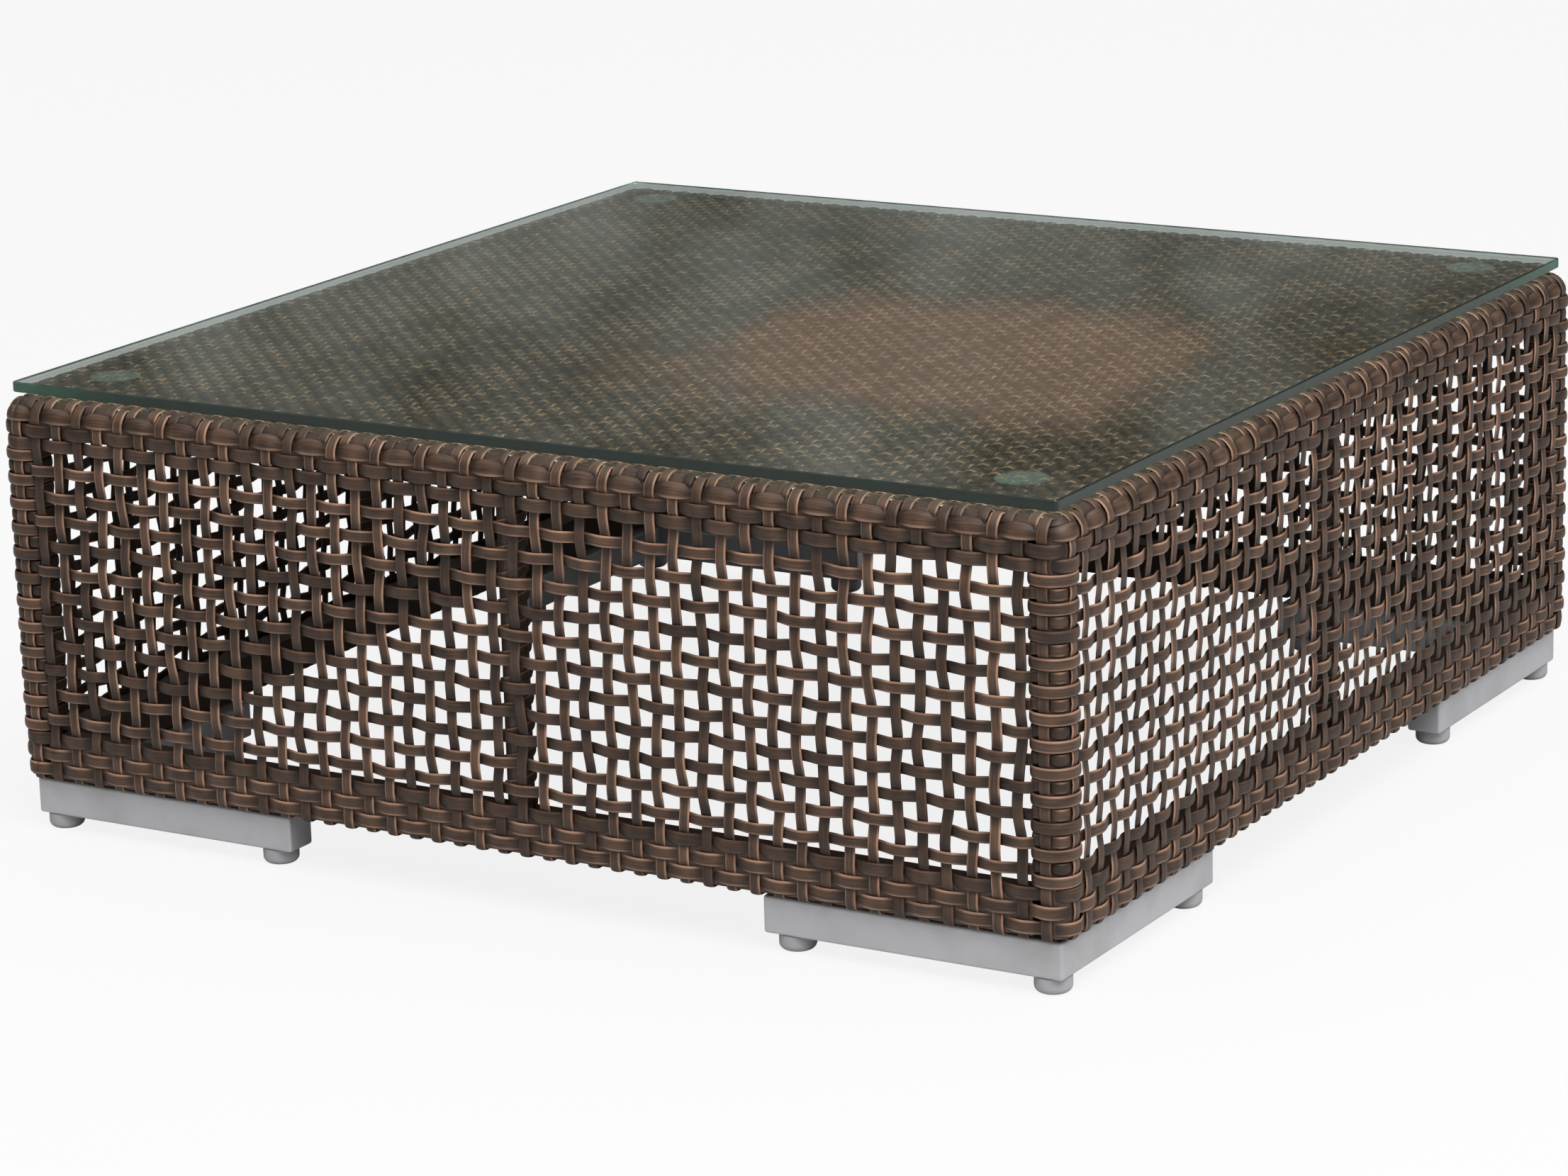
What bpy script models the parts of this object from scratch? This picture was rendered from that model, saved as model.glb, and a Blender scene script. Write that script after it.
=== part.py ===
"""Square wicker coffee table: a glass plate on clear pads, a woven body on a
tube frame, and four L-shaped bar feet with glides. Metres, +Z up, with the
origin on the floor under the middle of the table."""
import math

import bmesh
import bpy

# Whole table
TABLE_HEIGHT = 0.350
BODY_SIDE = 0.900            # outer faces of the weave
GAP = 0.0003                 # clearance where two pieces touch

# Glass plate and the clear pads under it
GLASS_SIDE = 0.880
GLASS_THICK = 0.008
GLASS_CORNER_RADIUS = 0.003
GLASS_ARRIS = 0.0008
PAD_INSET = 0.055            # glass edge to pad centre
PAD_RADIUS = 0.019
PAD_RIM_THICK = 0.0006
PAD_DISC_THICK = 0.0022
PAD_NUB_RADIUS = 0.0055
PAD_HEIGHT = 0.0044

# Woven skin
WEAVE_THICK = 0.0035
WEAVE_TOP = TABLE_HEIGHT - GLASS_THICK - PAD_HEIGHT - 2 * GAP
EDGE_RADIUS = 0.0165         # top roll and upright corners
CORNER_ZONE = 0.027          # width of the densely wrapped corners
SKIN_SEGMENTS = 5            # across each rounded edge

# Frame tubes
PIPE_RADIUS = 0.0125
SLIM_PIPE_RADIUS = 0.010
PIPE_WALL = 0.0015
BOTTOM_RAIL_HEIGHT = 0.030
BOTTOM_RAIL_DEPTH = 0.025
CROSS_RAIL_OFFSET = 0.145    # of each cross rail from the middle
POST_DOME_DROP = 0.0010      # of a post's domed top below the weave's rounded corner

# Feet, glides and bolts
FOOT_INSET = 0.010           # of the feet behind the faces of the weave
FOOT_BAR = 0.028
FOOT_ARM = 0.236             # along the outer face
FOOT_EDGE_RADIUS = 0.0022
GLIDE_RADIUS = 0.0135
GLIDE_HEIGHT = 0.0125        # floor to the underside of the foot
GLIDE_EDGE_RADIUS = 0.005
GLIDE_STEM_RADIUS = 0.0037
GLIDE_STEM_LENGTH = 0.010
GLIDE_INSET = 0.0145         # outer foot face to glide centre
GLIDE_END_INSET = 0.0195     # end of the foot to the centre of the end glides
BOLT_RADIUS = 0.003
BOLT_HEAD_RADIUS = 0.00525
BOLT_HEAD_HEIGHT = 0.0035
BOLT_HEX_RADIUS = 0.0022
BOLT_HEX_DEPTH = 0.002
BOLT_LENGTH = 0.033          # under the head
BOLT_RECESS = 0.003          # of the head's face above the underside of the foot
BOLT_INSET = 0.011           # outer foot face to bolt centre
BOLT_ALONG = 0.130           # corner of the foot to each bolt
BOLT_CLEARANCE = 0.0003

# Worked out from the sizes above
HALF = BODY_SIDE / 2
GLASS_BOTTOM = TABLE_HEIGHT - GLASS_THICK
FOOT_HALF = HALF - FOOT_INSET
FOOT_TOP = GLIDE_HEIGHT + FOOT_BAR
WEAVE_BOTTOM = FOOT_TOP + GAP
FRAME_HALF = HALF - WEAVE_THICK - GAP
FRAME_BOTTOM = WEAVE_BOTTOM + WEAVE_THICK + GAP
FRAME_TOP = WEAVE_TOP - WEAVE_THICK - GAP
PIPE_LINE = FRAME_HALF - PIPE_RADIUS
PIPE_HEIGHT = FRAME_TOP - PIPE_RADIUS
RAIL_END = PIPE_LINE - PIPE_RADIUS - GAP
ZONE_LINE = HALF - CORNER_ZONE
FAR = 0.6                    # reach of cutters that run right past the table

SIDES = ("front", "right", "back", "left")
CORNERS = {"front_left": (-1, -1), "front_right": (1, -1),
           "back_right": (1, 1), "back_left": (-1, 1)}

# Finishes: base colour, roughness, metallic, alpha
FINISHES = {
    "float_glass": ((0.42, 0.56, 0.50), 0.03, 0.0, 0.35),
    "clear_vinyl": ((0.82, 0.88, 0.86), 0.12, 0.0, 0.45),
    "brown_wicker": ((0.085, 0.062, 0.052), 0.50, 0.0, 1.0),
    "brown_frame_paint": ((0.030, 0.022, 0.018), 0.45, 0.3, 1.0),
    "silver_foot_paint": ((0.48, 0.48, 0.49), 0.42, 0.6, 1.0),
    "grey_glide_plastic": ((0.42, 0.42, 0.43), 0.55, 0.0, 1.0),
    "zinc_bolt_steel": ((0.55, 0.55, 0.56), 0.35, 1.0, 1.0),
}


def clear_scene():
    for item in list(bpy.data.objects):
        bpy.data.objects.remove(item, do_unlink=True)


def new_collection(name):
    collection = bpy.data.collections.new(name)
    bpy.context.scene.collection.children.link(collection)
    return collection


def finish(name):
    colour, roughness, metallic, alpha = FINISHES[name]
    material = bpy.data.materials.get(name) or bpy.data.materials.new(name)
    material.use_nodes = True
    shader = material.node_tree.nodes["Principled BSDF"]
    shader.inputs["Base Color"].default_value = (*colour, 1.0)
    shader.inputs["Roughness"].default_value = roughness
    shader.inputs["Metallic"].default_value = metallic
    shader.inputs["Alpha"].default_value = alpha
    material.diffuse_color = (*colour, alpha)
    return material


def add_object(name, mesh, collection, finish_name=None):
    item = bpy.data.objects.new(name, mesh)
    collection.objects.link(item)
    if finish_name and not mesh.materials:
        mesh.materials.append(finish(finish_name))
    return item


def add_part(name, mesh, finish_name):
    return add_object(name, mesh, parts, finish_name)


def add_cutter(name, mesh):
    cutter = add_object(name, mesh, cutters)
    cutter.hide_render = True
    cutter.display_type = "WIRE"
    return cutter


def boolean(item, operation, cutter):
    modifier = item.modifiers.new(operation.title(), "BOOLEAN")
    modifier.operation = operation
    modifier.solver = "EXACT"
    modifier.object = cutter


def bevel(item, width, segments, angle=50):
    modifier = item.modifiers.new("Bevel", "BEVEL")
    modifier.width = width
    modifier.segments = segments
    modifier.limit_method = "ANGLE"
    modifier.angle_limit = math.radians(angle)


def mesh_from(bm, name):
    mesh = bpy.data.meshes.new(name)
    bm.to_mesh(mesh)
    bm.free()
    return mesh


def add_box(bm, low, high):
    made = bmesh.ops.create_cube(bm, size=1.0)["verts"]
    size = [b - a for a, b in zip(low, high)]
    middle = [(a + b) / 2 for a, b in zip(low, high)]
    bmesh.ops.scale(bm, vec=size, verts=made)
    bmesh.ops.translate(bm, vec=middle, verts=made)


def box_mesh(name, low, high):
    bm = bmesh.new()
    add_box(bm, low, high)
    return mesh_from(bm, name)


def add_rod(bm, x, y, bottom, top, radius, sides=12):
    made = bmesh.ops.create_cone(bm, cap_ends=True, segments=sides, radius1=radius,
                                 radius2=radius, depth=top - bottom)["verts"]
    bmesh.ops.translate(bm, vec=(x, y, (bottom + top) / 2), verts=made)


def smooth(mesh, angle=40):
    mesh.shade_smooth()
    mesh.set_sharp_from_angle(angle=math.radians(angle))


def open_tube(name, radius, length, sides=20):
    """Round tube along Z, centred on its origin, open at both ends."""
    bm = bmesh.new()
    bmesh.ops.create_cone(bm, cap_ends=False, segments=sides, radius1=radius,
                          radius2=radius, depth=length)
    bmesh.ops.recalc_face_normals(bm, faces=bm.faces)
    mesh = mesh_from(bm, name)
    smooth(mesh)
    return mesh


def add_wall(item, thickness):
    modifier = item.modifiers.new("Wall", "SOLIDIFY")
    modifier.thickness = thickness
    modifier.offset = -1.0


def turned(item, steps):
    modifier = item.modifiers.new("Turn", "SCREW")
    modifier.steps = steps
    modifier.render_steps = steps
    modifier.use_merge_vertices = True
    modifier.merge_threshold = 0.00001
    modifier.use_normal_calculate = False


def profile_mesh(name, points):
    """Outline from the top of the axis, down the outside, to the axis again."""
    bm = bmesh.new()
    made = [bm.verts.new((radius, 0.0, height)) for radius, height in points]
    for first, second in zip(made, made[1:]):
        bm.edges.new((first, second))
    return mesh_from(bm, name)


def arc(centre_radius, centre_height, radius, start, end, steps):
    points = []
    for step in range(steps + 1):
        angle = math.radians(start + (end - start) * step / steps)
        points.append((centre_radius + radius * math.cos(angle),
                       centre_height + radius * math.sin(angle)))
    return points


def rounded_block(name, half, bottom, top, radius, segments):
    """Block with its uprights and its top rim rounded by one radius."""
    bm = bmesh.new()
    add_box(bm, (-half, -half, bottom), (half, half, top))
    rounded = [edge for edge in bm.edges
               if max(vert.co.z for vert in edge.verts) > top - GAP]
    bmesh.ops.bevel(bm, geom=rounded, offset=radius, segments=segments,
                    profile=0.5, affect="EDGES", clamp_overlap=True)
    return mesh_from(bm, name)


# ---------------------------------------------------------------- glass top
def build_glass():
    half = GLASS_SIDE / 2
    bm = bmesh.new()
    add_box(bm, (-half, -half, GLASS_BOTTOM), (half, half, TABLE_HEIGHT))
    uprights = [edge for edge in bm.edges
                if abs(edge.verts[0].co.z - edge.verts[1].co.z) > GAP]
    bmesh.ops.bevel(bm, geom=uprights, offset=GLASS_CORNER_RADIUS, segments=3,
                    profile=0.5, affect="EDGES")
    glass = add_part("glass_top", mesh_from(bm, "glass_top"), "float_glass")
    bevel(glass, GLASS_ARRIS, 1)


def build_pads():
    lens = []
    reach = PAD_RADIUS - PAD_NUB_RADIUS
    for step in range(4):
        share = step / 3
        sag = (PAD_DISC_THICK - PAD_RIM_THICK) * math.sin(share * math.pi / 2)
        lens.append((PAD_RADIUS - reach * share, -PAD_RIM_THICK - sag))
    edge = 0.0012
    nub = arc(PAD_NUB_RADIUS - edge, edge - PAD_HEIGHT, edge, 0, -90, 3)
    outline = [(0.0, 0.0), (PAD_RADIUS, 0.0)] + lens + nub + [(0.0, -PAD_HEIGHT)]
    mesh = profile_mesh("glass_pad", outline)
    place = GLASS_SIDE / 2 - PAD_INSET
    for corner, (x, y) in CORNERS.items():
        pad = add_part("glass_pad_" + corner, mesh, "clear_vinyl")
        pad.location = (x * place, y * place, GLASS_BOTTOM - GAP)
        turned(pad, 20)


# --------------------------------------------------------------- woven skin
def build_skin(bolt_holes):
    """Outer block less inner block, shared out in nine patches."""
    inner = rounded_block("skin_inside", HALF - WEAVE_THICK,
                          WEAVE_BOTTOM + WEAVE_THICK, WEAVE_TOP - WEAVE_THICK,
                          EDGE_RADIUS - WEAVE_THICK, SKIN_SEGMENTS)
    hollow = add_cutter("skin_inside", inner)
    inside = ZONE_LINE - GAP / 2
    outside = ZONE_LINE + GAP / 2
    middle, low, high = (-inside, inside), (-FAR, -outside), (outside, FAR)
    patches = {
        "top_weave": (middle, middle),
        "side_weave_front": (middle, low), "side_weave_right": (high, middle),
        "side_weave_back": (middle, high), "side_weave_left": (low, middle),
        "corner_wrap_front_left": (low, low), "corner_wrap_front_right": (high, low),
        "corner_wrap_back_right": (high, high), "corner_wrap_back_left": (low, high),
    }
    for name, (x, y) in patches.items():
        bottom = PIPE_HEIGHT if name == "top_weave" else WEAVE_BOTTOM
        patch = box_mesh(name + "_patch", (x[0], y[0], bottom), (x[1], y[1], FAR))
        skin = add_part(name, rounded_block(name, HALF, 0.0, WEAVE_TOP,
                                            EDGE_RADIUS, SKIN_SEGMENTS), "brown_wicker")
        boolean(skin, "INTERSECT", add_cutter(name + "_patch", patch))
        boolean(skin, "DIFFERENCE", hollow)
        if name.startswith("side"):
            boolean(skin, "DIFFERENCE", bolt_holes)


# --------------------------------------------------------------- tube frame
def build_corner_posts():
    """Round posts with domed tops, open at the foot."""
    inner = PIPE_RADIUS - PIPE_WALL
    dome = PIPE_HEIGHT - POST_DOME_DROP
    outline = arc(0.0, dome, PIPE_RADIUS, 90, 0, 4)
    outline += [(PIPE_RADIUS, FRAME_BOTTOM), (inner, FRAME_BOTTOM)]
    outline += arc(0.0, dome, inner, 0, 90, 4)
    outline[0] = (0.0, outline[0][1])
    outline[-1] = (0.0, outline[-1][1])
    mesh = profile_mesh("corner_post", outline)
    for corner, (x, y) in CORNERS.items():
        post = add_part("corner_post_" + corner, mesh, "brown_frame_paint")
        post.location = (x * PIPE_LINE, y * PIPE_LINE, 0.0)
        turned(post, 20)


def build_top_rails():
    mesh = open_tube("top_rail", PIPE_RADIUS, 2 * RAIL_END)
    for index, side in enumerate(SIDES):
        angle = (index - 1) * math.pi / 2
        rail = add_part("top_rail_" + side, mesh, "brown_frame_paint")
        rail.rotation_euler = (0.0, math.pi / 2, angle + math.pi / 2)
        rail.location = (PIPE_LINE * math.cos(angle), PIPE_LINE * math.sin(angle),
                         PIPE_HEIGHT)
        add_wall(rail, PIPE_WALL)


def build_bottom_rails(bolt_holes):
    outer = FRAME_HALF
    inner = FRAME_HALF - BOTTOM_RAIL_DEPTH
    top = FRAME_BOTTOM + BOTTOM_RAIL_HEIGHT
    boxes = {
        "front": ((-RAIL_END, -outer, FRAME_BOTTOM), (RAIL_END, -inner, top)),
        "right": ((inner, -RAIL_END, FRAME_BOTTOM), (outer, RAIL_END, top)),
        "back": ((-RAIL_END, inner, FRAME_BOTTOM), (RAIL_END, outer, top)),
        "left": ((-outer, -RAIL_END, FRAME_BOTTOM), (-inner, RAIL_END, top)),
    }
    for side, (low, high) in boxes.items():
        bm = bmesh.new()
        add_box(bm, low, high)
        along = 0 if side in ("front", "back") else 1
        ends = [face for face in bm.faces if abs(face.normal[along]) > 0.5]
        bmesh.ops.delete(bm, geom=ends, context="FACES_ONLY")
        rail = add_part("bottom_rail_" + side, mesh_from(bm, "bottom_rail_" + side),
                        "brown_frame_paint")
        add_wall(rail, PIPE_WALL)
        boolean(rail, "DIFFERENCE", bolt_holes)


def build_middle_posts():
    bottom = FRAME_BOTTOM + BOTTOM_RAIL_HEIGHT + GAP
    top = PIPE_HEIGHT - PIPE_RADIUS - GAP
    mesh = open_tube("middle_post", SLIM_PIPE_RADIUS, top - bottom, 16)
    for index, side in enumerate(SIDES):
        angle = (index - 1) * math.pi / 2
        post = add_part("middle_post_" + side, mesh, "brown_frame_paint")
        post.location = (PIPE_LINE * math.cos(angle), PIPE_LINE * math.sin(angle),
                         (bottom + top) / 2)
        add_wall(post, PIPE_WALL)


def build_cross_rails():
    mesh = open_tube("cross_rail", SLIM_PIPE_RADIUS, 2 * RAIL_END, 16)
    for name, y in (("front", -CROSS_RAIL_OFFSET), ("back", CROSS_RAIL_OFFSET)):
        rail = add_part("cross_rail_" + name, mesh, "brown_frame_paint")
        rail.rotation_euler = (0.0, math.pi / 2, 0.0)
        rail.location = (0.0, y, FRAME_TOP - SLIM_PIPE_RADIUS)
        add_wall(rail, PIPE_WALL)


# ------------------------------------------------------- feet, glides, bolts
def glide_places(x, y):
    """Centres of a foot's corner glide and its two end glides."""
    near = FOOT_HALF - GLIDE_INSET
    far = FOOT_HALF - FOOT_ARM + GLIDE_END_INSET
    return {"corner": (x * near, y * near), "x_end": (x * far, y * near),
            "y_end": (x * near, y * far)}


def bolt_places(x, y):
    """Centres of a foot's two bolts, one in each arm."""
    near = FOOT_HALF - BOLT_INSET
    along = FOOT_HALF - BOLT_ALONG
    return {"x_arm": (x * along, y * near), "y_arm": (x * near, y * along)}


def bolt_hole_cutter():
    bm = bmesh.new()
    for x, y in CORNERS.values():
        for place in bolt_places(x, y).values():
            add_rod(bm, *place, 0.0, FRAME_BOTTOM + BOTTOM_RAIL_HEIGHT / 2,
                    BOLT_RADIUS + BOLT_CLEARANCE)
    return add_cutter("bolt_holes", mesh_from(bm, "bolt_holes"))


def foot_socket_cutter():
    """Recesses for the bolt heads and sockets for the glides' stems."""
    bm = bmesh.new()
    for x, y in CORNERS.values():
        for place in bolt_places(x, y).values():
            add_rod(bm, *place, 0.0, GLIDE_HEIGHT + BOLT_RECESS + BOLT_HEAD_HEIGHT + GAP,
                    BOLT_HEAD_RADIUS + 0.001)
        for place in glide_places(x, y).values():
            add_rod(bm, *place, 0.0, GLIDE_HEIGHT + GLIDE_STEM_LENGTH + 0.001,
                    GLIDE_STEM_RADIUS + GAP)
    return add_cutter("foot_sockets", mesh_from(bm, "foot_sockets"))


def build_feet(bolt_holes):
    sockets = foot_socket_cutter()
    for corner, (x, y) in CORNERS.items():
        inner = FOOT_HALF - FOOT_BAR
        end = FOOT_HALF - FOOT_ARM
        spans = [sorted((side * end, side * FOOT_HALF)) for side in (x, y)]
        low = (spans[0][0], spans[1][0], GLIDE_HEIGHT)
        high = (spans[0][1], spans[1][1], FOOT_TOP)
        foot = add_part("foot_" + corner, box_mesh("foot_" + corner, low, high),
                        "silver_foot_paint")
        cuts = [sorted((side * -FAR, side * inner)) for side in (x, y)]
        notch = add_cutter("notch_" + corner, box_mesh(
            "notch_" + corner, (cuts[0][0], cuts[1][0], -FAR), (cuts[0][1], cuts[1][1], FAR)))
        boolean(foot, "DIFFERENCE", notch)
        bevel(foot, FOOT_EDGE_RADIUS, 3)
        boolean(foot, "DIFFERENCE", sockets)
        boolean(foot, "DIFFERENCE", bolt_holes)


def build_glides():
    """Domed glide with a stem that plugs into the foot."""
    shoulder = GLIDE_HEIGHT - GAP
    outline = [(0.0, GLIDE_HEIGHT + GLIDE_STEM_LENGTH),
               (GLIDE_STEM_RADIUS, GLIDE_HEIGHT + GLIDE_STEM_LENGTH),
               (GLIDE_STEM_RADIUS, shoulder), (GLIDE_RADIUS, shoulder)]
    outline += arc(GLIDE_RADIUS - GLIDE_EDGE_RADIUS, GLIDE_EDGE_RADIUS,
                   GLIDE_EDGE_RADIUS, 0, -90, 3)
    outline.append((0.0, 0.0))
    mesh = profile_mesh("glide", outline)
    for corner, signs in CORNERS.items():
        for place, (x, y) in glide_places(*signs).items():
            glide = add_part("glide_{}_{}".format(corner, place), mesh,
                             "grey_glide_plastic")
            glide.location = (x, y, 0.0)
            turned(glide, 16)


def build_bolts():
    face = GLIDE_HEIGHT + BOLT_RECESS
    under_head = face + BOLT_HEAD_HEIGHT
    outline = [(0.0, under_head + BOLT_LENGTH), (BOLT_RADIUS, under_head + BOLT_LENGTH),
               (BOLT_RADIUS, under_head), (BOLT_HEAD_RADIUS, under_head),
               (BOLT_HEAD_RADIUS, face + 0.001), (BOLT_HEAD_RADIUS - 0.001, face),
               (0.0, face)]
    mesh = profile_mesh("foot_bolt", outline)
    for corner, signs in CORNERS.items():
        for place, (x, y) in bolt_places(*signs).items():
            name = "foot_bolt_{}_{}".format(corner, place)
            bolt = add_part(name, mesh, "zinc_bolt_steel")
            bolt.location = (x, y, 0.0)
            turned(bolt, 12)
            bm = bmesh.new()
            add_rod(bm, x, y, 0.0, face + BOLT_HEX_DEPTH, BOLT_HEX_RADIUS, 6)
            boolean(bolt, "DIFFERENCE", add_cutter(name + "_hex", mesh_from(bm, name + "_hex")))


clear_scene()
parts = new_collection("wicker_coffee_table")
cutters = new_collection("cutters")
shaft_holes = bolt_hole_cutter()
build_glass()
build_pads()
build_skin(shaft_holes)
build_corner_posts()
build_top_rails()
build_bottom_rails(shaft_holes)
build_middle_posts()
build_cross_rails()
build_feet(shaft_holes)
build_glides()
build_bolts()
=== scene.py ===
import math

import bmesh
import bpy
import numpy as np
from mathutils import Matrix, Vector


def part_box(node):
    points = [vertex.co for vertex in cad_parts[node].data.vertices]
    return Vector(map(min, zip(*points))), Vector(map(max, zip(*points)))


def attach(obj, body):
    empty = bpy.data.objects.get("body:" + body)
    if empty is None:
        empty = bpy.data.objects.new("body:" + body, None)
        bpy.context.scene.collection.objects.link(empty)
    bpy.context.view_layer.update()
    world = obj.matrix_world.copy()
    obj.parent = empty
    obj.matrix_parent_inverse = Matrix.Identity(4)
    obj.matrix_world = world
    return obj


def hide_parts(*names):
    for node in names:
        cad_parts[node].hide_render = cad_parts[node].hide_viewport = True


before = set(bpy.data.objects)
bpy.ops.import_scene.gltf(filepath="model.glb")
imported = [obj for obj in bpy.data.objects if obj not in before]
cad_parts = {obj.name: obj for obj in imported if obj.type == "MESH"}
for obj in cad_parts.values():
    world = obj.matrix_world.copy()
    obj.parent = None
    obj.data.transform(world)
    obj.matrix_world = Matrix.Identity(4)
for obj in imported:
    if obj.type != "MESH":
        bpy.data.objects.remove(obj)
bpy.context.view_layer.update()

random = np.random.default_rng(11)
corners = {"front_right": 0, "back_right": 1, "back_left": 2, "front_left": 3}  # quarter turns
sides = ("front", "right", "back", "left")


def mm(value):
    return value / 1000


def linear(hexColour):
    # sRGB hex to the linear colour that the shaders mix
    parts = [int(hexColour[i:i + 2], 16) / 255 for i in (1, 3, 5)]
    return tuple(c / 12.92 if c <= 0.04045 else ((c + 0.055) / 1.055) ** 2.4 for c in parts) + (1.0,)


def addNode(tree, kind, inputs=None, **settings):
    made = tree.nodes.new(kind)
    for key, value in settings.items():
        setattr(made, key, value)
    for key, value in (inputs or {}).items():
        if isinstance(value, bpy.types.NodeSocket):
            tree.links.new(value, made.inputs[key])
        else:
            made.inputs[key].default_value = value
    return made


def newMaterial(name):
    material = bpy.data.materials.new(name)
    material.use_nodes = True
    tree = material.node_tree
    return material, tree, tree.nodes["Principled BSDF"]


# sizes read from the frame
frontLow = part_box("side_weave_front")[0]
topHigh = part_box("top_weave")[1]
postLow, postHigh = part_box("middle_post_front")
half = -frontLow.y                 # middle of the table to the outer face of the weave
weaveBottom = frontLow.z

weave = {
    "stripWidth": mm(8.5),
    "stripThick": mm(1.8),
    "rowLift": mm(2.1),            # how far a row swings out over and in under the uprights
    "stakeLift": mm(0.7),          # the uprights stay straighter
    "topLift": mm(1.45),           # all strips of the top swing alike
    "rise": mm(2.6),               # of the roll above the plain skin, so that it comes close to the glass
    "edgeRadius": mm(16.5),        # outer radius of the top roll and of the upright corners
    "clearance": mm(0.05),         # of the outermost crests inside the table's size
    "stakes": 44,                  # uprights of one side, without the two in its corners
    "stakeSpan": mm(828),          # first to last of them
    "cornerStake": mm(432),        # from the middle of a side to its corner uprights
    "lowRows": 3, "lowRow": mm(51.3), "lowPitch": mm(12.1),
    "openRows": 11, "openLow": mm(91.9), "openHigh": mm(285.4),
    "highRows": (mm(305.6), mm(316.0)),
    "bandAlong": mm(5.0),          # from the start of the roll, over it, to the band's middle
    "shoulderAlong": mm(15.2),     # and to the next row above the band
    "bandWiden": 1.32,             # the band on the roll is a wider strip
    "closeWiden": 1.14,            # and so are the rows packed below it and at the bottom
    "shoulderWiden": 1.12,
    "shoulderSwing": 0.5,          # flatter than the rest, which keeps the roll closed
    "curlRadius": mm(3.0),         # where the uprights turn in under the bottom rail
    "tuck": mm(17.0),              # how far they run on under it
    "swingStop": mm(1.5),          # below the start of that curl the uprights swing no more
    "fillerStop": mm(2),           # a filler of the top ends this far above the band's middle, behind it
    "stakeWander": mm(1.5), "stakeSpread": (0.6, 1.3), "stakeWaves": (mm(71), mm(127), mm(233)),
    "freeLow": mm(70), "freeHigh": mm(312), "freeFade": mm(30),    # heights between which they drift
    "rowWander": mm(0.8), "rowSpread": (0.7, 1.3), "rowWaves": (mm(83), mm(149), mm(271)),
    "heldWander": 0.3,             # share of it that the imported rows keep
    "rowSettle": mm(60),           # from a corner to where a row drifts fully
    "rowEnd": mm(6),               # from the end of a side's straight part to where its open rows stop
    "rowEndDip": 1.9,              # how deep they go in behind the corner there
    "wanderGain": 1.7,             # makes up for what the three waves of a drift cancel
    "cornerWraps": 25,             # corner wraps and the two close rows they lie between
    "stakeRings": mm(3.9), "cornerRings": mm(3.2), "fillerRings": mm(3.3),
    "openRings": mm(4.4), "closeRings": mm(4.0),
}
weaveTop = topHigh.z + weave["rise"]
midRadius = weave["edgeRadius"] - weave["rowLift"] - weave["stripThick"] / 2 - weave["clearance"]
core = half - weave["edgeRadius"]                  # straight part of a side, from its middle
rollStart = weaveTop - weave["edgeRadius"]         # height where the roll begins
rollLength = midRadius * math.pi / 2
quarter = 2 * core + rollLength                    # one side and one corner, round the table
curlStart = weaveBottom + weave["curlRadius"] + weave["stakeLift"] + weave["stripThick"] / 2
topMiddle = rollStart + rollLength + core          # up a side and over to the table's middle


# ways from the flat weave to the table's surface
def overProfile(girth, lift):
    # girth runs up a side, over the roll and on across the top; below the side it curls under
    turn = np.clip((girth - rollStart) / midRadius, 0, math.pi / 2)
    across = np.maximum(girth - rollStart - rollLength, 0)
    curl = weave["curlRadius"]
    tuckTurn = np.clip((curlStart - girth) / curl, 0, math.pi / 2)
    under = np.maximum(curlStart - girth - curl * math.pi / 2, 0)
    reachUp = (midRadius + lift) * np.cos(turn) - across
    heightUp = np.where(turn > 0, rollStart + (midRadius + lift) * np.sin(turn), girth)
    reachDown = midRadius - curl + (curl + lift) * np.cos(tuckTurn) - under
    heightDown = curlStart - (curl + lift) * np.sin(tuckTurn)
    low = girth < curlStart
    return np.where(low, reachDown, reachUp), np.where(low, heightDown, heightUp)


def quarterTurn(turns, rightward, outward):
    # plan position on the side that is this many quarter turns from the front
    x, y = rightward, -outward
    for _ in range(turns % 4):
        x, y = -y, x
    return x, y


def onSide(turns, along, girth, lift):
    reach, height = overProfile(girth, lift)
    x, y = quarterTurn(turns, along, core + reach)
    return np.stack([x, y, height], axis=-1)


def roundTable(distance, girth, lift):
    # distance runs round the table, with 0 at the middle of the front
    side = np.floor((distance + core) / quarter)
    along = distance - side * quarter
    angle = np.maximum(along - core, 0) / midRadius
    reach, height = overProfile(girth, lift)
    rightward = np.minimum(along, core) + reach * np.sin(angle)
    outward = core + reach * np.cos(angle)
    points = np.zeros(along.shape + (3,))
    for turns in range(-4, 8):
        here = side == turns
        x, y = quarterTurn(turns, rightward[here], outward[here])
        points[here] = np.stack([x, y, height[here]], axis=-1)
    return points


def overUnder(position, crossings, signs):
    # eases from over to under between one crossing and the next
    at = np.clip(np.searchsorted(crossings, position) - 1, 0, len(crossings) - 2)
    share = np.clip((position - crossings[at]) / (crossings[at + 1] - crossings[at]), 0, 1)
    ease = (1 - np.cos(math.pi * share)) / 2
    return signs[at] + (signs[at + 1] - signs[at]) * ease


def wander(position, waves, phases):
    # slow drift of a hand-woven strip off its line
    swings = [np.sin(2 * math.pi * position / wave + phase) for wave, phase in zip(waves, phases)]
    return sum(swings) / len(waves)


def ringsBetween(crossings, spacing):
    # places along a strip where its outline is repeated
    rings = [crossings[0]]
    for first, last in zip(crossings, crossings[1:]):
        steps = max(2, round((last - first) / spacing))
        rings += [first + (last - first) * (i + 1) / steps for i in range(steps)]
    return np.array(rings)


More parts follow.
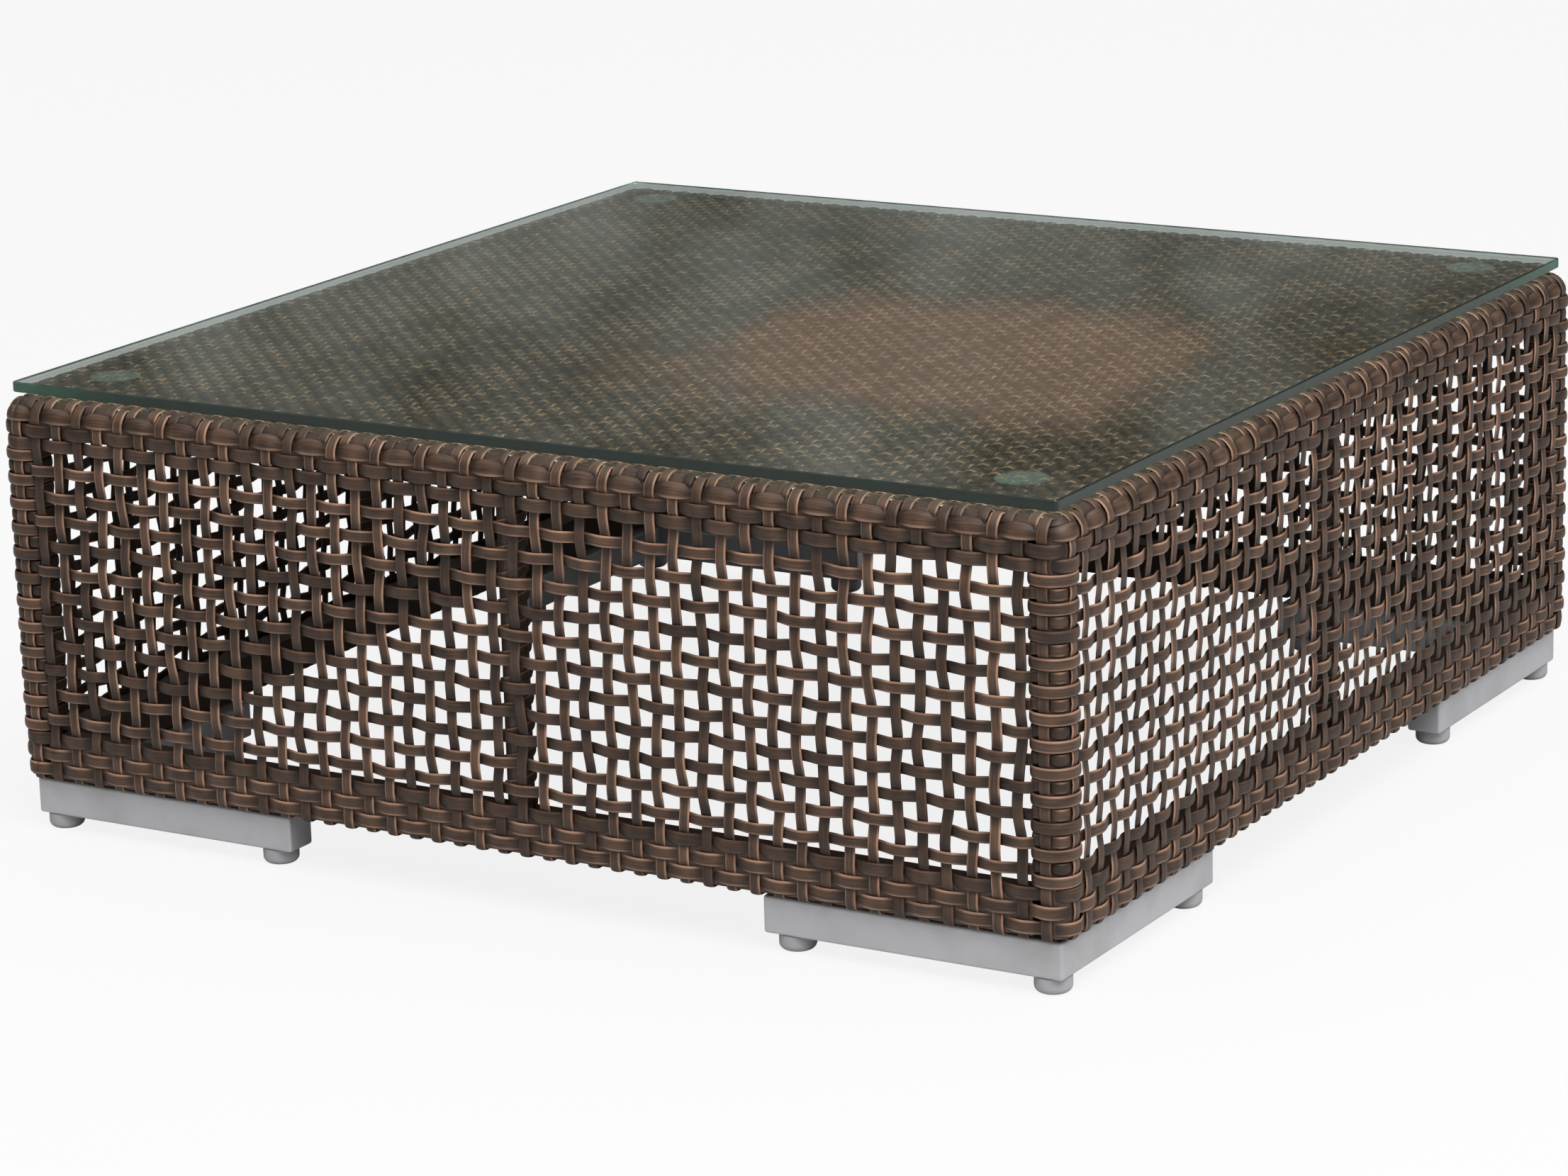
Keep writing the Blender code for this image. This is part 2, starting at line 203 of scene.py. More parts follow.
# flat strip, as an outline of across and height shares
sideOutline = ((-1, -0.1), (-0.9, 0.4), (-0.55, 0.85), (0, 1), (0.55, 0.85), (0.9, 0.4), (1, -0.1),
               (0.7, -0.85), (-0.7, -0.85))
topOutline = ((-1, 0), (-0.7, 0.75), (0, 1), (0.7, 0.75), (1, 0), (0, -0.85))


def straightStrip(rings, outline):
    # one closed strip along X from 0 to 1, cut into rings
    bm = bmesh.new()
    end = bm.faces.new([bm.verts.new((0, across, height)) for across, height in outline])
    grown = bmesh.ops.extrude_face_region(bm, geom=[end], use_keep_orig=True)["geom"]
    far = [g for g in grown if isinstance(g, bmesh.types.BMVert)]
    bmesh.ops.translate(bm, vec=(1, 0, 0), verts=far)
    lengthways = [e for e in bm.edges if abs(e.verts[0].co.x - e.verts[1].co.x) > 0.5]
    bmesh.ops.subdivide_edges(bm, edges=lengthways, cuts=rings - 2, use_grid_fill=True)
    bmesh.ops.recalc_face_normals(bm, faces=bm.faces)
    mesh = bpy.data.meshes.new("strip")
    bm.to_mesh(mesh)
    bm.free()
    return mesh


def weaveStrips(name, rings, outline, places, widen=1.0, rubbedTo=1.0):
    # places holds one function for each strip: it takes along, across and height, and gives the points
    # and how far out each one is; rubbedTo leaves the lighter edge off the strip's upper side
    blank = straightStrip(len(rings), outline)
    bm = bmesh.new()
    for _ in places:
        bm.from_mesh(blank)
    mesh = bpy.data.meshes.new(name)
    bm.to_mesh(mesh)
    bm.free()
    flat = np.zeros(len(mesh.vertices) * 3, np.float32)
    mesh.vertices.foreach_get("co", flat)
    flat = flat.reshape(len(places), -1, 3)
    along = np.interp(flat[..., 0] * (len(rings) - 1), np.arange(len(rings)), rings)
    across = flat[..., 1]
    width = weave["stripWidth"] / 2 * across * widen
    height = weave["stripThick"] / 2 * flat[..., 2]
    placed = [place(along[i], width[i], height[i]) for i, place in enumerate(places)]
    points = np.stack([point for point, _ in placed])
    crests = np.stack([crest for _, crest in placed])
    mesh.vertices.foreach_set("co", points.astype(np.float32).ravel())
    tones = np.repeat(random.random((len(places), 1)), flat.shape[1], axis=1)
    for key, values in (("across", np.minimum(across, rubbedTo)), ("tone", tones), ("crest", crests)):
        layer = mesh.attributes.new(key, "FLOAT", "POINT")
        layer.data.foreach_set("value", values.astype(np.float32).ravel())
    ends = np.zeros(len(mesh.loops), np.int32)
    mesh.loops.foreach_get("vertex_index", ends)
    spread = np.arange(len(places))[:, None]
    mapped = np.stack([along + spread * 0.37, width + spread * 0.05], axis=-1).reshape(-1, 2)
    mesh.uv_layers.new(name="strand").data.foreach_set("uv", mapped[ends].astype(np.float32).ravel())
    mesh.shade_smooth()
    mesh.update()
    bpy.data.meshes.remove(blank)
    return mesh


def addPiece(name, mesh, material, body, slotName, *nodes):
    mesh.materials.clear()
    mesh.materials.append(material)
    piece = bpy.data.objects.new(name, mesh)
    bpy.context.scene.collection.objects.link(piece)
    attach(piece, body)
    if nodes:
        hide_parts(*nodes)
    return piece


# synthetic rattan, extruded polyethylene strip with lighter rubbed edges: satin, fine lengthways grain
rattan = {
    "dark": "#36261d", "light": "#604838", "edge": "#a5806a", "strips": (0.7, 1.25),
    "grainWide": mm(0.8), "grainLong": mm(30), "mottle": mm(26), "darkToLight": (0.82, 1.2),
    "rubFrom": 0.56, "rubTo": 0.84,                  # shares of the half width where the edge is rubbed
    "patches": (0.36, 0.56), "patchLeast": 0.45,     # the rubbing comes and goes along a strip
    "marked": (0.28, 0.40), "markedShare": (0.18, 0.9),    # and some strips show little of it
    # painted shade: where a strip dips under its neighbour, its colour is darkened down to this share
    "sunk": 0.42, "dipShadeFrom": -0.6, "dipShadeTo": 0.7,
    "roughness": 0.44, "smoother": 0.08, "rougher": 0.12, "specular": 0.4,
    "groove": mm(0.15), "grooveStrength": 0.5,
}


def makeRattan():
    material, tree, shader = newMaterial("synthetic_rattan")
    strand = addNode(tree, "ShaderNodeUVMap", uv_map="strand").outputs["UV"]
    stretched = addNode(tree, "ShaderNodeMapping", {"Vector": strand, "Scale": (
        1 / rattan["grainLong"], 1 / rattan["grainWide"], 1)}).outputs["Vector"]
    grain = addNode(tree, "ShaderNodeTexNoise", {"Vector": stretched, "Scale": 1.0, "Detail": 3.0,
                                                 "Roughness": 0.6}).outputs["Fac"]
    mottle = addNode(tree, "ShaderNodeTexNoise", {"Vector": strand, "Scale": 1 / rattan["mottle"],
                                                  "Detail": 2.0}).outputs["Fac"]
    tone = addNode(tree, "ShaderNodeAttribute", attribute_name="tone").outputs["Fac"]
    across = addNode(tree, "ShaderNodeAttribute", attribute_name="across").outputs["Fac"]
    fromMiddle = addNode(tree, "ShaderNodeMath", {0: across}, operation="ABSOLUTE").outputs[0]
    rubbed = addNode(tree, "ShaderNodeMapRange", {"Value": fromMiddle, "From Min": rattan["rubFrom"],
                                                  "From Max": rattan["rubTo"]},
                     interpolation_type="SMOOTHSTEP").outputs[0]
    patchy = addNode(tree, "ShaderNodeMapRange", {
        "Value": mottle, "From Min": rattan["patches"][0], "From Max": rattan["patches"][1],
        "To Min": rattan["patchLeast"], "To Max": 1.0}).outputs[0]
    marked = addNode(tree, "ShaderNodeMapRange", {
        "Value": tone, "From Min": rattan["marked"][0], "From Max": rattan["marked"][1],
        "To Min": rattan["markedShare"][0], "To Max": rattan["markedShare"][1]}).outputs[0]
    edge = addNode(tree, "ShaderNodeMath", {0: rubbed, 1: patchy}, operation="MULTIPLY").outputs[0]
    edge = addNode(tree, "ShaderNodeMath", {0: edge, 1: marked}, operation="MULTIPLY").outputs[0]
    blend = addNode(tree, "ShaderNodeMath", {0: grain, 1: mottle}, operation="ADD").outputs[0]
    blend = addNode(tree, "ShaderNodeMapRange", {"Value": blend, "From Min": rattan["darkToLight"][0],
                                                 "From Max": rattan["darkToLight"][1]}).outputs[0]
    middle = addNode(tree, "ShaderNodeMix", {0: blend, 6: linear(rattan["dark"]),
                                             7: linear(rattan["light"])}, data_type="RGBA").outputs[2]
    colour = addNode(tree, "ShaderNodeMix", {0: edge, 6: middle, 7: linear(rattan["edge"])},
                     data_type="RGBA").outputs[2]
    # strips differ in tone at random, and each gets painted shade where it dips under its neighbour: the
    # colour is darkened there
    strip = addNode(tree, "ShaderNodeMapRange", {"Value": tone, "To Min": rattan["strips"][0],
                                                 "To Max": rattan["strips"][1]}).outputs[0]
    crest = addNode(tree, "ShaderNodeAttribute", attribute_name="crest").outputs["Fac"]
    dip = addNode(tree, "ShaderNodeMapRange", {"Value": crest, "From Min": rattan["dipShadeFrom"],
                                               "From Max": rattan["dipShadeTo"], "To Min": rattan["sunk"],
                                               "To Max": 1.0}, interpolation_type="SMOOTHSTEP").outputs[0]
    shade = addNode(tree, "ShaderNodeMath", {0: strip, 1: dip}, operation="MULTIPLY").outputs[0]
    colour = addNode(tree, "ShaderNodeVectorMath", {0: colour, "Scale": shade},
                     operation="SCALE").outputs[0]
    gloss = addNode(tree, "ShaderNodeMapRange", {
        "Value": grain, "To Min": rattan["roughness"] - rattan["smoother"],
        "To Max": rattan["roughness"] + rattan["rougher"]}).outputs[0]
    bump = addNode(tree, "ShaderNodeBump", {"Height": grain, "Strength": rattan["grooveStrength"],
                                            "Distance": rattan["groove"]}).outputs[0]
    tree.links.new(colour, shader.inputs["Base Color"])
    tree.links.new(gloss, shader.inputs["Roughness"])
    tree.links.new(bump, shader.inputs["Normal"])
    shader.inputs["Specular IOR Level"].default_value = rattan["specular"]
    return material


# toughened float glass: faint green body, dark green through its edges, polished faces
glassLook = {
    "body": "#7ce7cb", "density": 10.0, "roughness": 0.0, "ior": 1.52, "shadow": "#e6f2ec",
    "edgeRoughness": 0.3, "edgeTint": "#86d3b6", "edgeBand": mm(1.0),
}


def shineThrough(tree, shader, tint):
    # lets lamps through on to the weave, which clear glass would otherwise shade
    shadow = addNode(tree, "ShaderNodeLightPath").outputs["Is Shadow Ray"]
    through = addNode(tree, "ShaderNodeBsdfTransparent", {"Color": linear(tint)})
    both = addNode(tree, "ShaderNodeMixShader", {0: shadow, 1: shader.outputs[0], 2: through.outputs[0]})
    tree.links.new(both.outputs[0], tree.nodes["Material Output"].inputs["Surface"])


def makeGlass():
    material, tree, shader = newMaterial("float_glass_polished")
    place = addNode(tree, "ShaderNodeTexCoord").outputs["Object"]
    split = addNode(tree, "ShaderNodeSeparateXYZ", {0: place})
    far = [addNode(tree, "ShaderNodeMath", {0: split.outputs[axis]}, operation="ABSOLUTE").outputs[0]
           for axis in ("X", "Y")]
    away = addNode(tree, "ShaderNodeMath", {0: far[0], 1: far[1]}, operation="MAXIMUM").outputs[0]
    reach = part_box("glass_top")[1].x
    rim = addNode(tree, "ShaderNodeMath", {0: away, 1: reach - glassLook["edgeBand"]},
                  operation="GREATER_THAN").outputs[0]
    colour = addNode(tree, "ShaderNodeMix", {0: rim, 6: (1, 1, 1, 1), 7: linear(glassLook["edgeTint"])},
                     data_type="RGBA").outputs[2]
    gloss = addNode(tree, "ShaderNodeMapRange", {"Value": rim, "To Min": glassLook["roughness"],
                                                 "To Max": glassLook["edgeRoughness"]}).outputs[0]
    tree.links.new(colour, shader.inputs["Base Color"])
    tree.links.new(gloss, shader.inputs["Roughness"])
    shader.inputs["IOR"].default_value = glassLook["ior"]
    shader.inputs["Transmission Weight"].default_value = 1.0
    absorb = addNode(tree, "ShaderNodeVolumeAbsorption", {"Color": linear(glassLook["body"]),
                                                          "Density": glassLook["density"]})
    shineThrough(tree, shader, glassLook["shadow"])
    tree.links.new(absorb.outputs[0], tree.nodes["Material Output"].inputs["Volume"])
    return material


# soft clear vinyl pads: pale and shiny, the weave shows through them
vinylLook = {"body": "#b4bfba", "roughness": 0.2, "ior": 1.5, "cover": 0.11}


def makeVinyl():
    material, _, shader = newMaterial("clear_vinyl_moulded")
    shader.inputs["Base Color"].default_value = linear(vinylLook["body"])
    shader.inputs["Roughness"].default_value = vinylLook["roughness"]
    shader.inputs["IOR"].default_value = vinylLook["ior"]
    shader.inputs["Alpha"].default_value = vinylLook["cover"]
    return material


# brown powder coat on the aluminium tubes: dark, low sheen, slight orange peel
frameCoat = {"colour": "#3a2a22", "dust": "#4c3a30", "dustPatch": mm(60), "peel": mm(1.2),
             "peelStrength": 0.3, "peelDepth": mm(0.1), "roughness": 0.5}


def makeFrameCoat():
    material, tree, shader = newMaterial("powder_coat_brown")
    place = addNode(tree, "ShaderNodeTexCoord").outputs["Object"]
    peel = addNode(tree, "ShaderNodeTexNoise", {"Vector": place, "Scale": 1 / frameCoat["peel"],
                                                "Detail": 1.0}).outputs["Fac"]
    dust = addNode(tree, "ShaderNodeTexNoise", {"Vector": place, "Scale": 1 / frameCoat["dustPatch"],
                                                "Detail": 4.0}).outputs["Fac"]
    colour = addNode(tree, "ShaderNodeMix", {0: dust, 6: linear(frameCoat["colour"]),
                                             7: linear(frameCoat["dust"])}, data_type="RGBA").outputs[2]
    tree.links.new(colour, shader.inputs["Base Color"])
    shader.inputs["Roughness"].default_value = frameCoat["roughness"]
    bump = addNode(tree, "ShaderNodeBump", {"Height": peel, "Strength": frameCoat["peelStrength"],
                                            "Distance": frameCoat["peelDepth"]}).outputs[0]
    tree.links.new(bump, shader.inputs["Normal"])
    return material


# silver paint on the aluminium feet: even grey with fine flake, satin
footPaint = {
    "colour": "#c5c5ca", "worn": "#b6b6b8", "wornPatch": mm(45), "wornFrom": 0.45, "wornTo": 0.7,
    "flake": mm(0.7), "flakeStrength": 0.15, "flakeDepth": mm(0.05),
    "roughness": 0.42, "smoother": 0.07, "rougher": 0.1, "metallic": 0.35,
}


def makeFootPaint():
    material, tree, shader = newMaterial("silver_paint_satin")
    place = addNode(tree, "ShaderNodeTexCoord").outputs["Object"]
    flake = addNode(tree, "ShaderNodeTexNoise", {"Vector": place, "Scale": 1 / footPaint["flake"],
                                                 "Detail": 2.0}).outputs["Fac"]
    worn = addNode(tree, "ShaderNodeTexNoise", {"Vector": place, "Scale": 1 / footPaint["wornPatch"],
                                                "Detail": 5.0}).outputs["Fac"]
    worn = addNode(tree, "ShaderNodeMapRange", {"Value": worn, "From Min": footPaint["wornFrom"],
                                                "From Max": footPaint["wornTo"]}).outputs[0]
    colour = addNode(tree, "ShaderNodeMix", {0: worn, 6: linear(footPaint["colour"]),
                                             7: linear(footPaint["worn"])}, data_type="RGBA").outputs[2]
    gloss = addNode(tree, "ShaderNodeMapRange", {
        "Value": flake, "To Min": footPaint["roughness"] - footPaint["smoother"],
        "To Max": footPaint["roughness"] + footPaint["rougher"]}).outputs[0]
    tree.links.new(colour, shader.inputs["Base Color"])
    tree.links.new(gloss, shader.inputs["Roughness"])
    shader.inputs["Metallic"].default_value = footPaint["metallic"]
    bump = addNode(tree, "ShaderNodeBump", {"Height": flake, "Strength": footPaint["flakeStrength"],
                                            "Distance": footPaint["flakeDepth"]}).outputs[0]
    tree.links.new(bump, shader.inputs["Normal"])
    return material


# grey moulded polyamide glides: matt, scuffed where they meet the floor
glidePlastic = {"colour": "#adadb0", "scuff": "#8f8e8c", "scuffTop": mm(3), "rub": mm(4), "roughness": 0.55}


def makeGlidePlastic():
    material, tree, shader = newMaterial("polyamide_grey_moulded")
    place = addNode(tree, "ShaderNodeTexCoord").outputs["Object"]
    height = addNode(tree, "ShaderNodeSeparateXYZ", {0: place}).outputs["Z"]
    low = addNode(tree, "ShaderNodeMapRange", {
        "Value": height, "From Min": 0.0, "From Max": glidePlastic["scuffTop"],
        "To Min": 1.0, "To Max": 0.0}).outputs[0]
    rub = addNode(tree, "ShaderNodeTexNoise", {"Vector": place, "Scale": 1 / glidePlastic["rub"],
                                               "Detail": 3.0}).outputs["Fac"]
    amount = addNode(tree, "ShaderNodeMath", {0: low, 1: rub}, operation="MULTIPLY").outputs[0]
    colour = addNode(tree, "ShaderNodeMix", {0: amount, 6: linear(glidePlastic["colour"]),
                                             7: linear(glidePlastic["scuff"])}, data_type="RGBA").outputs[2]
    tree.links.new(colour, shader.inputs["Base Color"])
    shader.inputs["Roughness"].default_value = glidePlastic["roughness"]
    return material


# zinc-plated steel bolts: bright, slightly bluish, lightly brushed
boltZinc = {"colour": "#b9bcc0", "scratch": mm(0.6), "roughness": 0.32, "smoother": 0.1, "rougher": 0.12}


def makeBoltZinc():
    material, tree, shader = newMaterial("zinc_plated_steel")
    place = addNode(tree, "ShaderNodeTexCoord").outputs["Object"]
    scratch = addNode(tree, "ShaderNodeTexNoise", {
        "Vector": place, "Scale": 1 / boltZinc["scratch"]}).outputs["Fac"]
    gloss = addNode(tree, "ShaderNodeMapRange", {
        "Value": scratch, "To Min": boltZinc["roughness"] - boltZinc["smoother"],
        "To Max": boltZinc["roughness"] + boltZinc["rougher"]}).outputs[0]
    shader.inputs["Base Color"].default_value = linear(boltZinc["colour"])
    shader.inputs["Metallic"].default_value = 1.0
    tree.links.new(gloss, shader.inputs["Roughness"])
    return material


rattanMaterial = makeRattan()
glassMaterial = makeGlass()
vinylMaterial = makeVinyl()
frameMaterial = makeFrameCoat()
footMaterial = makeFootPaint()
glideMaterial = makeGlidePlastic()
boltMaterial = makeBoltZinc()
print("materials made")

# lines of the weave
stakeLines = np.concatenate([[-weave["cornerStake"]],
                             np.linspace(-weave["stakeSpan"] / 2, weave["stakeSpan"] / 2, weave["stakes"]),
                             [weave["cornerStake"]]])
stakeCount = len(stakeLines)
fillerLines = (stakeLines[1:] + stakeLines[:-1]) / 2
topLines = np.sort(np.concatenate([stakeLines, fillerLines]))       # even places are stakes
lowRows = weave["lowRow"] + weave["lowPitch"] * np.arange(weave["lowRows"])
openRows = np.linspace(weave["openLow"], weave["openHigh"], weave["openRows"])
rowLines = np.concatenate([lowRows, openRows, weave["highRows"], [rollStart + weave["bandAlong"]]])
bandRow = len(rowLines) - 1
shoulderLine = rollStart + weave["shoulderAlong"]
wrapLines = np.linspace(lowRows[-1], weave["highRows"][0], weave["cornerWraps"])[1:-1]
fillerEnd = topMiddle - shoulderLine
fillerTucked = topMiddle - rowLines[bandRow] - weave["fillerStop"]
cornerStakes = (0, stakeCount - 1)


def stakeSign(stake, row):
    # 1 where the stake passes over the row, -1 where it passes under
    return 1.0 if (stake + row) % 2 else -1.0


def topSign(first, second):
    return 1.0 if (first + second) % 2 else -1.0


def sideCrossings(stake):
    # girth and sign of all that one stake crosses on one side, from the floor up
    found = [(curlStart - weave["swingStop"], 0.0)]
    inCorner = stake in cornerStakes
    for row, line in enumerate(rowLines):
        if not inCorner or row < weave["lowRows"] or row >= len(rowLines) - 3:
            found.append((line, stakeSign(stake, row)))
    if inCorner:
        found += [(line, 1.0 if place % 2 else -1.0) for place, line in enumerate(wrapLines)]
    found.append((shoulderLine, stakeSign(stake, bandRow)))
    return sorted(found)


def stakeCrossings(stake):
    near = [(girth - topMiddle, sign) for girth, sign in sideCrossings(stake)]
    over = [(line, topSign(2 * stake, place)) for place, line in enumerate(topLines)]
    far = [(topMiddle - girth, sign) for girth, sign in sideCrossings(stakeCount - 1 - stake)]
    found = sorted(near + over + far)
    return np.array([place for place, _ in found]), np.array([sign for _, sign in found])


def swing(girth):
    # an upright's swing grows from the roll on to the flat of the top
    share = np.clip((girth - rollStart - rollLength / 2) / (rollLength / 2), 0, 1)
    return weave["stakeLift"] + (weave["topLift"] - weave["stakeLift"]) * share


def stakePlace(turns, stake):
    crossings, signs = stakeCrossings(stake)
    phases = random.uniform(0, 2 * math.pi, 3)
    reach = 0.0 if stake in cornerStakes else weave["stakeWander"] * random.uniform(*weave["stakeSpread"])

    def place(along, across, height):
        girth = topMiddle - np.abs(along)
        free = np.clip((girth - weave["freeLow"]) / weave["freeFade"], 0, 1)
        free = free * np.clip((weave["freeHigh"] - girth) / weave["freeFade"], 0, 1)
        drift = wander(along, weave["stakeWaves"], phases) * weave["wanderGain"] * reach * free
        crest = overUnder(along, crossings, signs)
        lift = swing(girth) * crest + height
        line = stakeLines[stake] + across + drift
        front = onSide(turns, line, girth, lift)
        back = onSide(turns + 2, -line, girth, lift)
        return np.where((along < 0)[:, None], front, back), crest
    return place


def fillerPlace(turns, filler):
    line = fillerLines[filler]
    over = [(at, topSign(2 * filler + 1, place)) for place, at in enumerate(topLines)]
    found = [(-fillerTucked, -1.0), (-fillerEnd, 1.0)] + over + [(fillerEnd, 1.0), (fillerTucked, -1.0)]
    crossings, signs = np.array([p for p, _ in found]), np.array([s for _, s in found])

    def place(along, across, height):
        girth = topMiddle - np.abs(along)
        crest = overUnder(along, crossings, signs)
        lift = swing(girth) * crest + height
        front = onSide(turns, line + across, girth, lift)
        back = onSide(turns + 2, -line - across, girth, lift)
        return np.where((along < 0)[:, None], front, back), crest
    return place


def rowPlace(line, crossings, signs):
    phases = random.uniform(0, 2 * math.pi, 3)
    free = 1.0 if weave["openLow"] <= line <= weave["openHigh"] else weave["heldWander"]
    reach = weave["rowWander"] * free * random.uniform(*weave["rowSpread"])

    def place(along, across, height):
        away = np.abs(along - quarter * np.round(along / quarter))
        settle = np.clip((core - away) / weave["rowSettle"], 0, 1)
        drift = wander(along, weave["rowWaves"], phases) * weave["wanderGain"] * reach * settle
        crest = overUnder(along, crossings, signs)
        return roundTable(along, line + across + drift, weave["rowLift"] * crest + height), crest
    return place


def buildStakes():
    lead = curlStart - topMiddle - weave["curlRadius"] * math.pi / 2
    ends = [lead - weave["tuck"], lead]
    farEnds = [-lead, weave["tuck"] - lead]
    middle = stakeCount // 2
    for turns, name in ((0, "front_back"), (1, "left_right")):
        for part, stakes in (("first", range(1, middle)), ("second", range(middle, stakeCount - 1))):
            rings = ringsBetween(ends + list(stakeCrossings(1)[0]) + farEnds, weave["stakeRings"])
            mesh = weaveStrips("stakes", rings, sideOutline, [stakePlace(turns, s) for s in stakes])
            addPiece("stakes_{}_{}".format(name, part), mesh, rattanMaterial, "table", "wicker", "top_weave")
        rings = ringsBetween(ends + list(stakeCrossings(0)[0]) + farEnds, weave["cornerRings"])
        mesh = weaveStrips("stakes", rings, sideOutline, [stakePlace(turns, s) for s in cornerStakes])
        addPiece("corner_stakes_" + name, mesh, rattanMaterial, "table", "wicker", "top_weave")
        lines = [-fillerTucked, -fillerEnd] + list(topLines) + [fillerEnd, fillerTucked]
        places = [fillerPlace(turns, filler) for filler in range(len(fillerLines))]
        mesh = weaveStrips("fillers", ringsBetween(lines, weave["fillerRings"]), topOutline, places)
        addPiece("top_fillers_" + name, mesh, rattanMaterial, "table", "wicker", "top_weave")


def buildRows():
    inner = range(1, stakeCount - 1)
    stop = core - weave["rowEnd"]
    dip = -weave["rowEndDip"]
    for turns, side in enumerate(sides):
        crossings = turns * quarter + np.array([-stop] + [stakeLines[s] for s in inner] + [stop])
        places = []
        for row in range(weave["lowRows"], weave["lowRows"] + weave["openRows"]):
            signs = np.array([dip] + [-stakeSign(s, row) for s in inner] + [dip])
            places.append(rowPlace(rowLines[row], crossings, signs))
        mesh = weaveStrips("rows", ringsBetween(list(crossings), weave["openRings"]), sideOutline, places)
        addPiece("open_rows_" + side, mesh, rattanMaterial, "table", "wicker", "side_weave_" + side)
    # rows that run right round the table, each ending where it began
    crossings = np.concatenate([turns * quarter + stakeLines for turns in range(4)])
    crossings = np.append(crossings, 4 * quarter + stakeLines[0])
    rings = ringsBetween(list(crossings), weave["closeRings"])
    places = []
    for row in list(range(weave["lowRows"])) + [bandRow - 2, bandRow - 1, bandRow]:
        signs = [-stakeSign(s, row) for _ in range(4) for s in range(stakeCount)]
        places.append(rowPlace(rowLines[row], crossings, np.array(signs + [signs[0]])))
    mesh = weaveStrips("rows", rings, sideOutline, places[:-1], weave["closeWiden"])
    addPiece("close_rows", mesh, rattanMaterial, "table", "wicker", *["side_weave_" + s for s in sides])
    mesh = weaveStrips("rows", rings, sideOutline, places[-1:], weave["bandWiden"], rubbedTo=0.4)
    addPiece("roll_band", mesh, rattanMaterial, "table", "wicker", *["side_weave_" + s for s in sides])
    # shoulder row above the band, seen only where the band hides an upright
    crossings = np.concatenate([turns * quarter + topLines for turns in range(4)])
    crossings = np.append(crossings, 4 * quarter + topLines[0])
    signs = [-1.0 if place % 2 else -stakeSign(place // 2, bandRow) for place in range(len(topLines))] * 4
    signs = np.array(signs + [signs[0]]) * weave["shoulderSwing"]
    rings = ringsBetween(list(crossings), weave["closeRings"])
    places = [rowPlace(shoulderLine, crossings, signs)]
    mesh = weaveStrips("rows", rings, sideOutline, places, weave["shoulderWiden"])
    addPiece("shoulder_row", mesh, rattanMaterial, "table", "wicker", "top_weave")


# wraps round the corner posts, as rounded squares with their outer corner on the table's corner
wrap = {
    "inner": mm(-14.5), "innerRadius": mm(8), "arcSteps": 12, "rings": 40,
    "wovenBulge": 0.35, "plainBulge": 0.8,     # at the table's corner, between the two uprights
    "ease": mm(11), "easeShare": 0.2,          # from an upright to where the wrap lies nearly flat
    "drift": mm(0.25),
}


def wrapPath():
    inner, radius = wrap["inner"], wrap["innerRadius"]
    near, far = inner + radius, midRadius - radius
    arcs = ((near, far, radius, 180, 90), (0, 0, midRadius, 90, 0), (far, near, radius, 0, -90),
            (near, near, radius, -90, -180))
    points, normals = [], []
    for x, y, size, start, end in arcs:
        for angle in np.radians(np.linspace(start, end, wrap["arcSteps"])):
            normals.append((math.cos(angle), math.sin(angle)))
            points.append((x + size * normals[-1][0], y + size * normals[-1][1]))
    points, normals = np.array(points), np.array(normals)
    # start and finish in the middle of the hidden side
    start = np.array([inner, (near + far) / 2])
    points = np.vstack([start, points, start])
    normals = np.vstack([(-1, 0), normals, (-1, 0)])
    length = np.append(0, np.cumsum(np.linalg.norm(np.diff(points, axis=0), axis=1)))
    return points, normals, length


def wrapPlace(turns, line, woven, path, drift):
    points, normals, length = path
    stake = weave["cornerStake"] - core
    firstPass = np.interp(stake, points[:wrap["arcSteps"] + 3, 0], length[:wrap["arcSteps"] + 3])
    secondPass = 2 * (length[wrap["arcSteps"]] + length[2 * wrap["arcSteps"] + 1]) / 2 - firstPass
    middle = (firstPass + secondPass) / 2
    sign = -1.0 if woven else 1.0
    ease, eased = wrap["ease"], sign * wrap["easeShare"]
    bulge = wrap["wovenBulge"] if woven else wrap["plainBulge"]
    crossings = np.array([0, firstPass - ease, firstPass, middle, secondPass, secondPass + ease, length[-1]])
    signs = np.array([0, eased, sign, bulge, sign, eased, 0])

    def place(along, across, height):
        crest = overUnder(along, crossings, signs)
        lift = weave["rowLift"] * crest + height
        at = [np.interp(along, length, points[:, i]) for i in (0, 1)]
        out = [np.interp(along, length, normals[:, i]) for i in (0, 1)]
        size = np.hypot(*out)
        x, y = quarterTurn(turns, core + at[0] + lift * out[0] / size, core + at[1] + lift * out[1] / size)
        return np.stack([x, y, line + across + drift + 0 * along], axis=-1), crest
    return place


def buildCornerWraps():
    path = wrapPath()
    rings = np.linspace(0, path[2][-1], wrap["rings"])
    for corner, turns in corners.items():
        places = [wrapPlace(turns, line, place % 2 == 1, path, random.uniform(-1, 1) * wrap["drift"])
                  for place, line in enumerate(wrapLines)]
        mesh = weaveStrips("wraps", rings, sideOutline, places)
        addPiece("corner_wraps_" + corner, mesh, rattanMaterial, "table", "wicker", "corner_wrap_" + corner)


# strip wound up each middle post
winding = {"pitch": mm(19.3), "ringsPerTurn": 18, "gap": mm(0.3), "endShare": 0.6}


